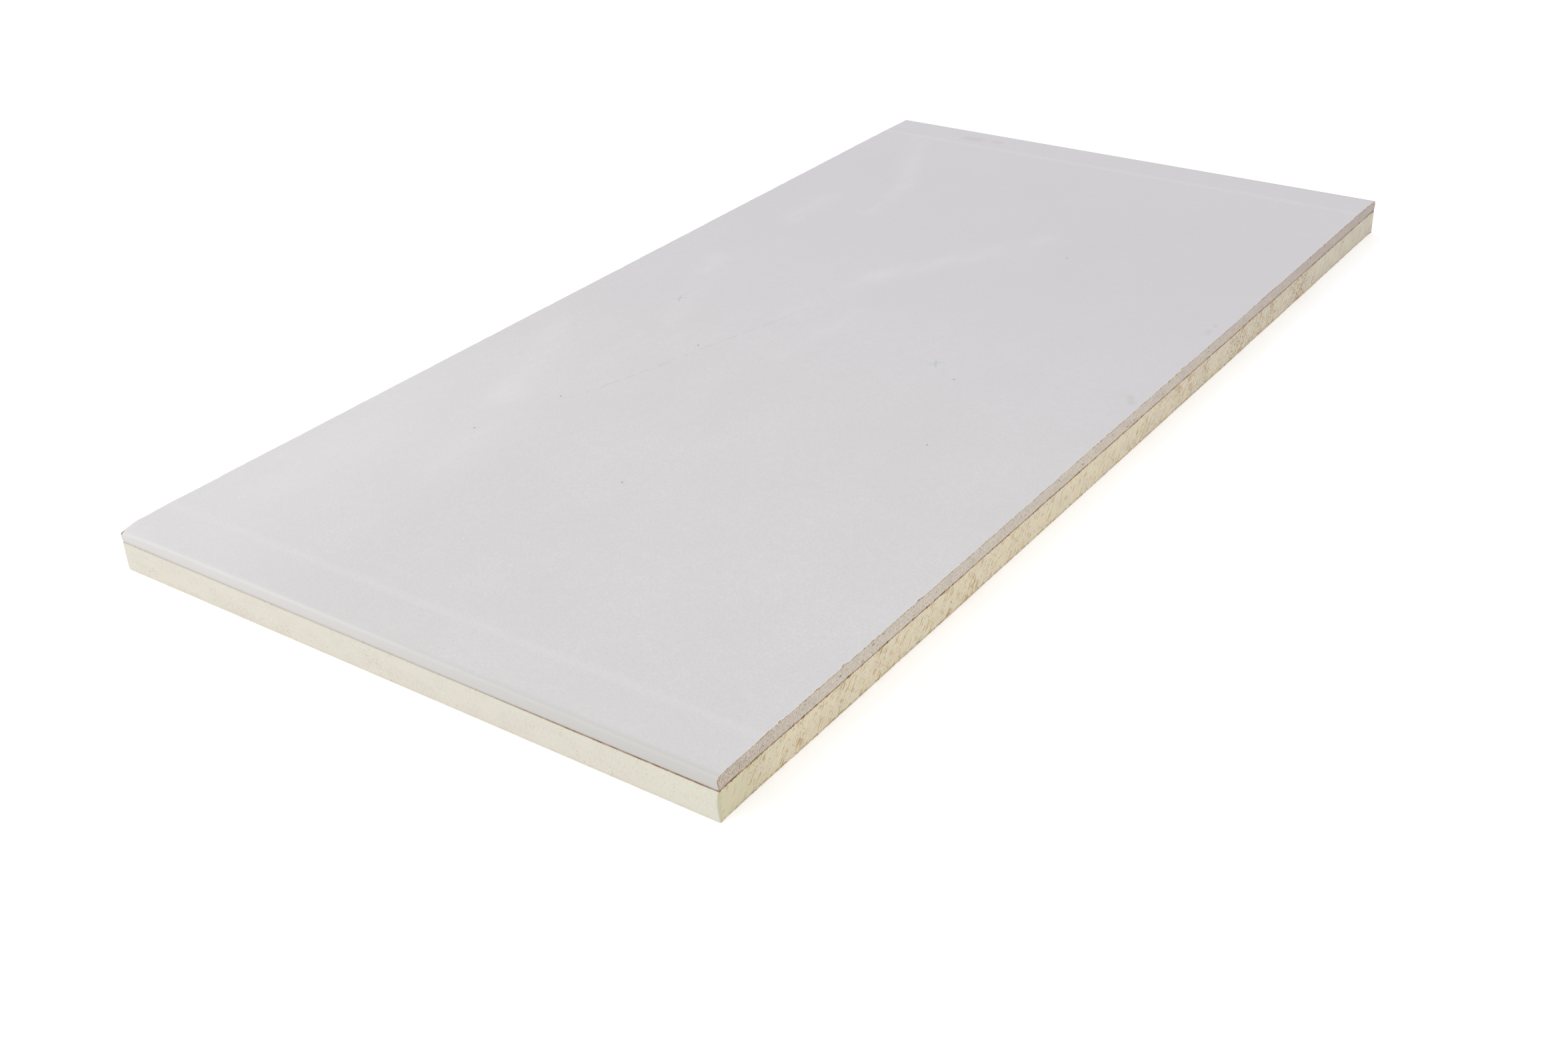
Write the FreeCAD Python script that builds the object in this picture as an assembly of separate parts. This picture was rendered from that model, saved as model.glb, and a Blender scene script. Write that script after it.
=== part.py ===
import FreeCAD, Part
import os
from FreeCAD import Vector

# Insulated plasterboard: a sheet of plasterboard bonded to a board of rigid foam, for lining
# walls and sloping ceilings. The sheet is sawn from a plasterboard production line as wide as
# this board is long, so its two short edges are the line's own, bound in paper and slightly
# tapered, and its two long edges are sawn and show every layer.
#
# The board lies flat with the foam down. X runs along the length, from one bound edge to the
# other, Y across it from one sawn edge to the other, and Z up to the face that is decorated.
# The origin is the middle of the foam's back. All sizes are in millimetres.

board_length = 1200.0
board_width = 600.0

# What the board is sold by: 12.5 mm of plasterboard on 25 mm of insulation.
plasterboard_thickness = 12.5
insulation_thickness = 25.0

# The paper on both faces of the plasterboard, and the fleece on the back of the foam.
liner_thickness = 0.4
facing_thickness = 0.5

# The bound edge. The face falls a little towards it, the arris is round, and the side swells
# in the middle and turns under at the foot.
taper_width = 52.0
taper_depth = 0.9
edge_swell = 0.9
core_arris_radius = 2.6
core_fold_radius = 0.8

# Under the board the face liner laps back over the core, and the back liner is glued over
# that lap and stops short of the fold.
lap_width = 25.0
back_liner_setback = 3.0

board_thickness = plasterboard_thickness + insulation_thickness
half_length = board_length / 2
lap_underside = insulation_thickness + liner_thickness


def layer(length, bottom, top):
    """A flat layer, centred on the board, as wide as the board."""
    corner = Vector(-length / 2, -board_width / 2, bottom)
    return Part.makeBox(length, board_width, top - bottom, corner)


def sawn_length(section):
    """A section in the XZ plane run from one sawn edge to the other."""
    start = section.translated(Vector(0, -board_width / 2, 0))
    return start.extrude(Vector(0, board_width, 0))


def rounded(before, after, corner, radius):
    """Two edges that meet at a corner, trimmed, with the arc that rounds it between them."""
    section_plane = Part.Plane(Vector(0, 0, 0), Vector(0, 1, 0))
    fillet = Part.ChFi2d.FilletAPI(Part.Wire([before, after]), section_plane)
    fillet.perform(radius)
    arc, before, after = fillet.result(corner)
    return before, arc, after


def bound_edge():
    """The outline of the paper-bound edge at the +X end, from the top of the taper, down the
    side and round the fold, to the end of the lap."""
    taper_top = Vector(half_length - taper_width, 0, board_thickness)
    arris = Vector(half_length - edge_swell, 0, board_thickness - taper_depth)
    foot = Vector(half_length - edge_swell, 0, lap_underside)
    mid_side = Vector(half_length, 0, (arris.z + foot.z) / 2)
    lap_end = Vector(half_length - lap_width, 0, lap_underside)

    taper = Part.LineSegment(taper_top, arris).toShape()
    side = Part.Arc(arris, mid_side, foot).toShape()
    lap = Part.LineSegment(foot, lap_end).toShape()

    arris_radius = core_arris_radius + liner_thickness
    fold_radius = core_fold_radius + liner_thickness
    taper, arris_arc, side = rounded(taper, side, arris, arris_radius)
    side, fold_arc, lap = rounded(side, lap, foot, fold_radius)
    return [taper, arris_arc, side, fold_arc, lap]


def plasterboard_section():
    """The plasterboard's section inside the back liner: the outer surface of the face liner."""
    right = bound_edge()
    left = [edge.mirror(Vector(0, 0, 0), Vector(1, 0, 0)) for edge in right]
    taper_top = Vector(half_length - taper_width, 0, board_thickness)
    lap_end = Vector(half_length - lap_width, 0, lap_underside)
    face = Part.LineSegment(Vector(-taper_top.x, 0, taper_top.z), taper_top).toShape()
    back = Part.LineSegment(lap_end, Vector(-lap_end.x, 0, lap_end.z)).toShape()
    loop = [face] + right + [back] + left[::-1]
    return Part.Face(Part.Wire(Part.__sortEdges__(loop)))


def gypsum_core():
    """Gypsum cast inside the folded face liner. It is one liner thinner over the laps, and
    between them it reaches down to the back liner."""
    inside_liner = plasterboard_section().makeOffset2D(-liner_thickness)
    between_laps = layer(
        board_length - 2 * lap_width, lap_underside, lap_underside + 2 * liner_thickness
    )
    return sawn_length(inside_liner).fuse(between_laps).removeSplitter()


def face_liner(core):
    """One sheet of paper over the face, round both bound edges and back under the core."""
    return sawn_length(plasterboard_section()).cut(core)


def back_liner():
    """Paper on the back of the core, which the foam is bonded to."""
    length = board_length - 2 * back_liner_setback
    return layer(length, insulation_thickness, lap_underside)


def foam_core():
    """Rigid foam board, flush with the bound edges and sawn with the plasterboard."""
    return layer(board_length, facing_thickness, insulation_thickness)


def foam_facing():
    """Fleece that the foam was foamed onto, on the side that meets the wall."""
    return layer(board_length, 0, facing_thickness)


def export(node, shape):
    """One STEP file of one closed solid, named after its node."""
    solid = shape.Solids[0]
    solid.exportStep(os.path.join("parts", node + ".step"))
    print(node, "solids", len(shape.Solids), "valid", solid.isValid(), "volume", round(solid.Volume))


os.makedirs("parts", exist_ok=True)
core = gypsum_core()
export("gypsum_core", core)
export("face_liner", face_liner(core))
export("back_liner", back_liner())
export("foam_core", foam_core())
export("foam_facing", foam_facing())
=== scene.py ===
import math
import random

import bpy
import numpy as np
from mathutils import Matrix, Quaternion, Vector, noise


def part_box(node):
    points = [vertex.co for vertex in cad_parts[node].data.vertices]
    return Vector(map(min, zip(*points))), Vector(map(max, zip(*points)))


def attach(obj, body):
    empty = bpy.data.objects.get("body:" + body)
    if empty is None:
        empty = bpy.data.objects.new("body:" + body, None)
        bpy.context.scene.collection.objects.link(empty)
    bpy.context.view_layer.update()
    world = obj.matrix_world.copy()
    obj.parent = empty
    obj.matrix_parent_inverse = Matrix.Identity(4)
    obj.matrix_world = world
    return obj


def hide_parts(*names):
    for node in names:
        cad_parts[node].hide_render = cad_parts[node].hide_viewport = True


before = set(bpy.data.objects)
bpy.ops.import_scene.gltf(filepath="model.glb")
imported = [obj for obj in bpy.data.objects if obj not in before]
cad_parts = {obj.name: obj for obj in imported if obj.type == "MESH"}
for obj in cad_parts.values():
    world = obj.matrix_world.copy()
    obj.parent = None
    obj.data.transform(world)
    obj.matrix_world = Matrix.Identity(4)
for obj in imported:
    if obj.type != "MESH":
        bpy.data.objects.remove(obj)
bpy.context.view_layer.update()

# The fleece on the back of the foam, the side that meets the wall. It is a thin sheet of paper
# and glass fibre that the foam rose against and grew fast to, and it is sawn with the board.

mm = 0.001
fleece_low, fleece_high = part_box("foam_facing")
half_length, half_width = fleece_high.x, fleece_high.y
board_size = (half_length, half_width)

# A rim has a point each such step along the sawn sides and the bound ends. On a layer's back
# and top the points get sparser in rings, given by how far in they are and by their step.
sawn_step, bound_step = 0.9 * mm, 1.5 * mm
rings = ((5 * mm, 6 * mm), (20 * mm, 24 * mm))
middle_inset, middle_step = 44 * mm, 24 * mm

# How far in the saw drifted along the front side, in millimetres: at which x, and how far.
saw_drift = (
    (-600, -540, -420, -260, 20, 200, 380, 480, 600),
    (0.4, 0.3, 0.0, 0.0, 0.15, 0.0, 0.2, 0.7, 0.9),
)

# The foot of the left rear corner is rubbed round: how deep, how far along and how high up.
blunt_depth, blunt_width, blunt_height = 0.8 * mm, 2.5 * mm, 2.5 * mm

fleece_levels = 4
fleece_fray = 0.3 * mm
fleece_pale = (0.74, 0.70, 0.695, 1.0)
fleece_brown = (0.56, 0.49, 0.44, 1.0)
fleece_fibre = (0.80, 0.77, 0.76, 1.0)
fleece_speck = (0.26, 0.19, 0.13, 1.0)
fleece_sawn = (0.80, 0.70, 0.49, 1.0)
fleece_edge = (0.84, 0.78, 0.60, 1.0)


def around(size, inset, long_step, short_step):
    """Points round the board, moved in, anticlockwise from the front left corner: their places,
    which count the sides from 0 to 4, the points, and which way is out at each."""
    turns = np.array([(-1, -1), (1, -1), (1, 1), (-1, 1), (-1, -1)], float)
    outs = np.array([(0, -1), (1, 0), (0, 1), (-1, 0)], float)
    corners = turns * (size[0] - inset, size[1] - inset)
    places, points, outward = [], [], []
    for side in range(4):
        start, end = corners[side], corners[side + 1]
        steps = round(math.dist(start, end) / (long_step, short_step)[side % 2])
        shares = np.arange(steps) / steps
        places.append(side + shares)
        points.append(start + np.outer(shares, end - start))
        outward.append(np.where(shares[:, None] == 0, turns[side], outs[side]))
    return np.concatenate(places), np.concatenate(points), np.concatenate(outward)


def at_height(points, height):
    """Points in the plan, at a height."""
    return np.column_stack([points, np.full(len(points), height)])


def edge_of(grid):
    """The points round a grid, along its first row and on: their places, which count the grid's
    sides from 0 to 4, and their indices."""
    index = np.arange(grid.shape[0] * grid.shape[1]).reshape(grid.shape[:2])
    places, order = [], []
    for side, line in enumerate((index[0], index[:, -1], index[-1, ::-1], index[::-1, 0])):
        steps = np.diff(grid.reshape(-1, grid.shape[2])[line], axis=0)
        run = np.cumsum(np.linalg.norm(steps, axis=1))
        places.append(side + np.concatenate([[0.0], run[:-1]]) / run[-1])
        order.append(line[:-1])
    return np.concatenate(places), np.concatenate(order)


def chance(points, size, seed=0.0):
    """Smooth chance at each point, from -1 to 1, that changes over about that size."""
    spots = (points.reshape(-1, 3) / size + seed).tolist()
    return np.array([noise.noise(spot) for spot in spots]).reshape(points.shape[:-1])


class Skin:
    """A closed surface: a grid, rows of points round the piece, and a last grid. A point has a
    place along its row, so that rows of few points join rows of many, and a mark."""

    def __init__(self):
        self.points, self.marks, self.faces = [], [], []

    def add(self, points, marks=0.0):
        """New points. It gives back their numbers."""
        first = len(self.points)
        self.points.extend(points.reshape(-1, 3).tolist())
        self.marks.extend(np.broadcast_to(marks, points.shape[:-1]).ravel().tolist())
        return np.arange(first, len(self.points)).reshape(points.shape[:-1])

    def row(self, places, points, marks=0.0):
        """A closed row: its places and its numbers, with the first point again at the end."""
        numbers = self.add(points, marks).tolist()
        return [*places, math.floor(places[-1]) + 1], [*numbers, numbers[0]]

    def grid(self, edge, points, marks=0.0, turned=False):
        """A grid of points with its faces. It gives back the row along its edge."""
        numbers = self.add(points, marks)
        corners = [numbers[:-1, :-1], numbers[:-1, 1:], numbers[1:, 1:], numbers[1:, :-1]]
        faces = np.stack(corners, -1).reshape(-1, 4)
        self.faces += (faces[:, ::-1] if turned else faces).tolist()
        places, order = edge
        around_it = numbers.ravel()[order].tolist()
        return [*places, 4.0], [*around_it, around_it[0]]

    def join(self, rows):
        """Faces from each row to the next, with four corners where both are as fine, else three."""
        for (low, a), (high, b) in zip(rows, rows[1:]):
            if len(a) == len(b):
                self.faces += zip(a, a[1:], b[1:], b)
                continue
            i = j = 0
            while i + 1 < len(a) or j + 1 < len(b):
                if j + 1 == len(b) or (i + 1 < len(a) and low[i + 1] <= high[j + 1]):
                    self.faces.append((a[i], a[i + 1], b[j]))
                    i += 1
                else:
                    self.faces.append((a[i], b[j + 1], b[j]))
                    j += 1

    def piece(self, name, finish):
        """The object, smooth but for its sharp edges."""
        mesh = bpy.data.meshes.new(name)
        mesh.from_pydata(self.points, [], self.faces)
        mesh.attributes.new("marked", "FLOAT", "POINT").data.foreach_set("value", self.marks)
        mesh.shade_smooth()
        mesh.set_sharp_from_angle(angle=math.radians(38))
        mesh.materials.append(finish)
        made = bpy.data.objects.new(name, mesh)
        bpy.context.scene.collection.objects.link(made)
        return made


def layer(size, places, rim, marks):
    """A flat layer from the rows of its rim, lowest first: an even grid in the middle of its back,
    rings out to the rim, the rim, rings in again, and an even grid in the middle of its top."""
    skin = Skin()
    low, high = rim[0, 0, 2], rim[-1, 0, 2]
    across, along = size[0] - middle_inset, size[1] - middle_inset
    columns = np.linspace(-across, across, round(2 * across / middle_step) + 1)
    lines = np.linspace(-along, along, round(2 * along / middle_step) + 1)
    middle = np.stack([*np.meshgrid(columns, lines), np.zeros((len(lines), len(columns)))], -1)
    circles = [around(size, inset, step, step)[:2] for inset, step in rings]
    rows = [skin.grid(edge_of(middle), middle + (0, 0, low), turned=True)]
    rows += [skin.row(ring, at_height(points, low)) for ring, points in circles[::-1]]
    rows += [skin.row(places, points, row_marks) for points, row_marks in zip(rim, marks)]
    rows += [skin.row(ring, at_height(points, high)) for ring, points in circles]
    rows.append(skin.grid(edge_of(middle), middle + (0, 0, high)))
    skin.join(rows)
    return skin


def upright(points, levels):
    """The rim's points repeated at each level, one row for each."""
    return np.stack([at_height(points, level) for level in levels])


def blunted(points):
    """Points with the foot of the left rear corner rubbed round."""
    aside = np.clip(1 - (half_width - points[..., 1]) / blunt_width, 0, 1)
    low = np.clip(1 - points[..., 2] / blunt_height, 0, 1)
    at_end = points[..., 0] < 1 * mm - half_length
    moved = points.copy()
    moved[..., 0] += blunt_depth * aside**0.6 * low**2 * at_end
    return moved


def saw_wander(rim):
    """How far in the saw cut at each point of a rim: a little more here, a little less there."""
    flat = rim[0] * (1, 1, 0)
    from_end = half_length - abs(flat[:, 0])
    wave = chance(flat, 55 * mm) + 0.5 * chance(flat, 17 * mm, 3.0)
    drift = np.interp(flat[:, 0] / mm, *saw_drift) * (flat[:, 1] < 0)
    wander = (np.clip(0.1 + 0.3 * wave, 0.02, 0.35) + drift) * mm
    return wander * np.clip(from_end / (9 * mm), 0.15, 1)


def move_in(rim, outward, depth):
    """The rim's points moved in by their depths."""
    moved = rim.copy()
    moved[..., :2] -= outward * depth[..., None]
    return moved


class Wire:
    """A socket of a shader. Sums on it add Math nodes, and any other node comes from node()."""

    def __init__(self, tree, socket=None):
        self.tree, self.socket = tree, socket

    def node(self, kind, settings, sockets, out=0):
        """A new node: its settings, then the values or wires of its sockets. It gives an output."""
        made = self.tree.nodes.new("ShaderNode" + kind)
        for name, setting in settings.items():
            setattr(made, name, setting)
        for name, value in sockets.items():
            if isinstance(value, Wire):
                self.tree.links.new(value.socket, made.inputs[name])
            else:
                made.inputs[name].default_value = value
        return Wire(self.tree, made.outputs[out])

    def other(self, out):
        """Another output of the same node."""
        return Wire(self.tree, self.socket.node.outputs[out])

    def math(self, operation, *others):
        return self.node("Math", {"operation": operation}, dict(enumerate((self, *others))))

    def __add__(self, other):
        return self.math("ADD", other)

    def __sub__(self, other):
        return self.math("SUBTRACT", other)

    def __rsub__(self, other):
        return self.node("Math", {"operation": "SUBTRACT"}, {0: other, 1: self})

    def __mul__(self, other):
        return self.math("MULTIPLY", other)

    def __truediv__(self, other):
        return self.math("DIVIDE", other)

    def __abs__(self):
        return self.math("ABSOLUTE")

    __radd__ = __add__
    __rmul__ = __mul__

    def parts(self):
        """The three numbers of a vector."""
        x = self.node("SeparateXYZ", {}, {0: self})
        return x, x.other("Y"), x.other("Z")

    def ease(self, low, high):
        """0 up to low, 1 from high, and smooth between. It falls instead where low is higher."""
        settings = {"interpolation_type": "SMOOTHSTEP"}
        return self.node("MapRange", settings, {"Value": self, "From Min": low, "From Max": high})

    def grain(self, size, detail=2, seed=0):
        """Noise, mostly from 0.3 to 0.7, in lumps of that size along x, y and z."""
        per_lump = [1 / length for length in size]
        spread = self.node("VectorMath", {"operation": "MULTIPLY"}, {0: self, 1: per_lump})
        settings = {"noise_dimensions": "4D"}
        sockets = {"Vector": spread, "W": seed, "Scale": 1.0, "Detail": detail}
        return self.node("TexNoise", settings, sockets)

    def spots(self, other, size, seed):
        """Spots strewn over the plane that this and the other measure, about that size apart: how
        far the nearest is, in such sizes, and its own chance from 0 to 1."""
        across, along = self / size[0] + seed, other / size[1]
        flat = self.node("CombineXYZ", {}, {"X": across, "Y": along})
        settings, sockets = {"voronoi_dimensions": "2D"}, {"Vector": flat, "Scale": 1.0}
        away = self.node("TexVoronoi", settings, sockets)
        return away, away.node("SeparateColor", {}, {0: away.other("Color")})

    def over(self, under, colour):
        """A colour laid over another, as thickly as this value says, from 0 to 1."""
        return self.node("Mix", {"data_type": "RGBA"}, {0: self, 6: under, 7: colour}, 2)


def coated(colour, *coats):
    """A colour with others laid over it in turn, each as thickly as its value says."""
    for thickness, coat in coats:
        colour = thickness.over(colour, coat)
    return colour


def new_finish(name, roughness, gloss=0.25):
    """A dull material, and a wire with the place of each point of the object, in millimetres."""
    made = bpy.data.materials.new(name)
    made.use_nodes = True
    shader = made.node_tree.nodes["Principled BSDF"]
    shader.inputs["Roughness"].default_value = roughness
    shader.inputs["Specular IOR Level"].default_value = gloss
    place = Wire(made.node_tree).node("TexCoord", {}, {}, "Object")
    return made, place.node("VectorMath", {"operation": "SCALE"}, {0: place, "Scale": 1 / mm})


def give(made, colour, height, relief):
    """The material, given its colour and its relief: a height from 0 to 1, and what 1 is."""
    shader = made.node_tree.nodes["Principled BSDF"]
    bump = height.node("Bump", {}, {"Height": height, "Distance": relief}, "Normal")
    made.node_tree.links.new(colour.socket, shader.inputs["Base Color"])
    made.node_tree.links.new(bump.socket, shader.inputs["Normal"])
    return made


def fleece_finish():
    """Pale fleece, clouded brown where the foam soaked in, with fibres and a few dark specks. Its
    rim is cream with foam, and more golden where it is sawn."""
    made, place = new_finish("fleece", 0.95)
    _, y, z = place.parts()
    clouds = place.grain((90, 70, 40), 4).ease(0.35, 0.7)
    patches = place.grain((14, 12, 9), 5, 4).ease(0.35, 0.68)
    fibres = place.grain((0.5, 7, 1), 3, 8).ease(0.55, 0.72)
    crossed = place.grain((6, 0.5, 1), 3, 12).ease(0.57, 0.72)
    specks = place.grain((1.3, 1.3, 1.3), 1, 16).ease(0.76, 0.8)
    rim = z.ease(0.02, 0.12)
    sawn_off = abs(y).ease(298, 298.8)
    flecks = place.grain((4, 4, 1), 3, 20).ease(0.56, 0.62) * sawn_off
    colour = coated(
        fleece_pale,
        (clouds * 0.3 + patches * 0.45, fleece_brown),
        ((fibres + crossed) * 0.22, fleece_fibre),
        (specks * 0.8, fleece_speck),
        (rim * 0.8, fleece_edge),
        (rim * sawn_off * 0.9, fleece_sawn),
        (rim * flecks * 0.8, fleece_speck),
    )
    return give(made, colour, fibres + crossed, 0.05 * mm)


places, outline, outward = around(board_size, 0, sawn_step, bound_step)
rim = upright(outline, np.linspace(fleece_low.z, fleece_high.z, fleece_levels))
fray = np.clip(0.4 + chance(rim, 3 * mm) + 0.6 * chance(rim, 1.1 * mm, 5.0), 0.05, 1.2)
fray *= np.where(outward[:, 1] == 0, 0.5, 1.0)
rim = blunted(move_in(rim, outward, saw_wander(rim) + fray * fleece_fray))
fleece_skin = layer(board_size, places, rim, np.zeros(rim.shape[:2]))
fleece = fleece_skin.piece("fleece", fleece_finish())
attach(fleece, "root")
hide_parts("foam_facing")

# The foam board. Pale yellow rigid foam, moulded between its facings and cut to length, with
# smooth ends. The long sides were sawn through with the plasterboard: the blade tore slanting
# streaks out of them, in groups, and the dust of the core stained the torn cells brown.

foam_low, foam_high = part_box("foam_core")
foam_levels = 26

# The middle of the seam between gypsum and foam, in millimetres, as the materials measure.
seam_height = (foam_high.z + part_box("back_liner")[1].z) / 2 / mm

# How steep the saw's marks are, and how deep a gouge of them is.
saw_slant = math.radians(48)
gouge_depth = 0.4 * mm

# Where the groups of streaks lie on the front side, along x, in millimetres, and how strong
# each is.
streak_groups = (
    (-567, -549, 0.5), (-530, -522, 0.2), (-515, -503, 0.45), (-487, -478, 0.25),
    (-471, -447, 0.45), (-415, -400, 0.45), (-391, -379, 0.35), (-341, -322, 0.3),
    (-316, -307, 0.25), (-287, -266, 0.35), (-259, -240, 0.2), (-218, -187, 0.35),
    (-170, -139, 0.25), (-8, 0, 0.4), (5, 50, 0.25), (54, 72, 0.3), (79, 105, 0.5),
    (114, 130, 0.5), (149, 161, 0.45), (199, 257, 0.45), (262, 290, 0.35), (302, 322, 0.4),
    (364, 408, 0.5), (498, 518, 0.3),
)

# The dashes of torn cells, from long to short: how far apart they are along the saw's marks and
# across them, in millimetres, a seed, and how much a marked place has more of them.
dashes = (
    ((16.0, 1.5), 1.9, 0.34),
    ((9.0, 1.3), 3.1, 0.3),
    ((5.0, 1.0), 7.7, 0.22),
    ((2.6, 1.0), 5.3, 0.16),
)

# How round the upright corners are, and how far along the one at the front left is rubbed, and
# how deep at some heights from its foot, in millimetres.
corner_radius, rubbed_length = 0.7 * mm, 9 * mm
rubbed_depths = ((0, 4, 13, 21, 25), (0.2, 1.2, 2.3, 1.4, 0.4))

# The first streaks from the front left corner are broad: the middle of each, along and up.
broad_streaks = ((-558 * mm, 13.5 * mm), (-556 * mm, 9 * mm), (-562 * mm, 17 * mm))
broad_length, broad_breadth = 7 * mm, 1.1 * mm

# How many stray streaks a side has, how many dents the two ends, and how many groups the rear.
stray_streaks, end_dents, rear_group_count = 90, 40, 18

foam_sawn = (0.90, 0.80, 0.585, 1.0)
foam_light = (0.945, 0.87, 0.69, 1.0)
foam_dull = (0.665, 0.61, 0.525, 1.0)
foam_end = (0.767, 0.74, 0.655, 1.0)
foam_pink = (0.752, 0.72, 0.645, 1.0)
foam_lit_front = (0.768, 0.755, 0.65, 1.0)
foam_risen = (0.83, 0.80, 0.72, 1.0)
foam_corner_shade = (0.66, 0.635, 0.42, 1.0)
foam_tan = (0.54, 0.325, 0.11, 1.0)
foam_pit = (0.26, 0.125, 0.03, 1.0)
seam_brown = (0.39, 0.215, 0.08, 1.0)
seam_dark = (0.15, 0.07, 0.022, 1.0)


def round_corners(rim, radius):
    """The rim's points near the upright corners, moved on to arcs."""
    signs = np.sign(rim[..., :2])
    away = np.array(board_size) - abs(rim[..., :2])
    along = away.sum(axis=2)
    turn = np.clip(1 - along / radius, 0, 1) * math.pi / 4
    ahead = np.where(turn > 0, radius * (1 - np.sin(turn)), along)
    inward = radius * (1 - np.cos(turn))
    on_sawn = (away[..., 1] < 1e-9) & (away[..., 0] > 1e-9)
    corner = along < 1e-9
    away_x = np.where(on_sawn | corner, ahead, inward)
    away_y = np.where(on_sawn, inward, ahead)
    rounded = rim.copy()
    rounded[..., 0] = signs[..., 0] * (half_length - away_x)
    rounded[..., 1] = signs[..., 1] * (half_width - away_y)
    return rounded


def rub_corner(rim, heights):
    """The rim worn in at the front left corner, in a hollow that runs out along the sawn side and
    ends at a crisp edge on the bound end."""
    from_end, from_side = half_length + rim[..., 0], half_width + rim[..., 1]
    deep = np.interp(heights / mm, *rubbed_depths)[:, None] * mm
    hollow = deep * np.clip(1 - from_end / rubbed_length, 0, 1) ** 2 * (from_side < half_width)
    squeezed = from_side * (1 - deep / (2 * rubbed_length)) + deep
    near = (from_end < 1.5 * mm) & (from_side < 2 * rubbed_length)
    worn = rim.copy()
    worn[..., 1] = np.where(near, squeezed, from_side + hollow) - half_width
    return worn


def gouge(field, side, run, heights, centre, length, breadth, deep, slant=saw_slant):
    """Presses one slanting gouge, thin at its ends, into the depths of a side."""
    near = np.flatnonzero(side & (abs(run - centre[0]) < length))
    ahead = run[near] - centre[0]
    above = heights[:, None] - centre[1]
    along = ahead * math.cos(slant) + above * math.sin(slant)
    aside = above * math.cos(slant) - ahead * math.sin(slant)
    shape = np.exp(-((aside / breadth) ** 2)) * np.clip(1 - (2 * along / length) ** 2, 0, 1)
    field[:, near] = np.maximum(field[:, near], deep * shape)


def streaks(field, side, run, heights, groups, draw):
    """The saw's streaks on one side: many in each group, and a few strays between them."""
    low, high = heights[0], heights[-1]
    for start, end, strength in groups:
        middle, reach = (start + end) / 2 * mm, (end - start) / 2 * mm + 3 * mm
        loose = strength * np.clip(1 - ((run - middle) / reach) ** 2, 0, 1) * side
        field[:] = np.maximum(field, loose)
        for _ in range(round((end - start) * strength)):
            centre = draw.uniform(start, end) * mm, draw.uniform(low + 1 * mm, high - 1 * mm)
            length, breadth = draw.uniform(2, 8) * mm, draw.uniform(0.4, 0.7) * mm
            gouge(field, side, run, heights, centre, length, breadth, draw.uniform(0.3, 1) ** 1.5)
    for _ in range(stray_streaks):
        centre = draw.uniform(-585, 585) * mm, draw.uniform(low, high)
        length, breadth = draw.uniform(1, 3) * mm, draw.uniform(0.4, 0.6) * mm
        gouge(field, side, run, heights, centre, length, breadth, draw.uniform(0.2, 0.7))


def seam_stain(place):
    """The stain of glue and dust at the seam under the plasterboard: how thick it is, from 0 to
    1, and its colour."""
    z = place.parts()[2]
    uneven = place.grain((5, 5, 40), 4, 30)
    blobs = place.grain((3, 3, 60), 2, 34).ease(0.54, 0.66)
    clots = place.grain((30, 30, 60), 2, 36).ease(0.48, 0.6)
    reach = 0.37 + uneven.ease(0.35, 0.7) * 0.3 + blobs * (0.12 + clots * 0.3)
    off = place.grain((1.8, 1.8, 60), 3, 38) - 0.5
    dark = blobs * 0.5 + uneven.ease(0.4, 0.65) * 0.35 + 0.12
    stain = (abs(z - seam_height + off) / reach).ease(1.2, 0.8)
    return stain, dark.over(seam_brown, seam_dark)


def slanting(place):
    """Places turned so that x runs along the saw's marks on a sawn side."""
    x, y, z = place.parts()
    along = x * math.cos(saw_slant) + z * math.sin(saw_slant)
    aside = z * math.cos(saw_slant) - x * math.sin(saw_slant)
    return place.node("CombineXYZ", {}, {"X": along, "Y": y, "Z": aside})


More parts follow.
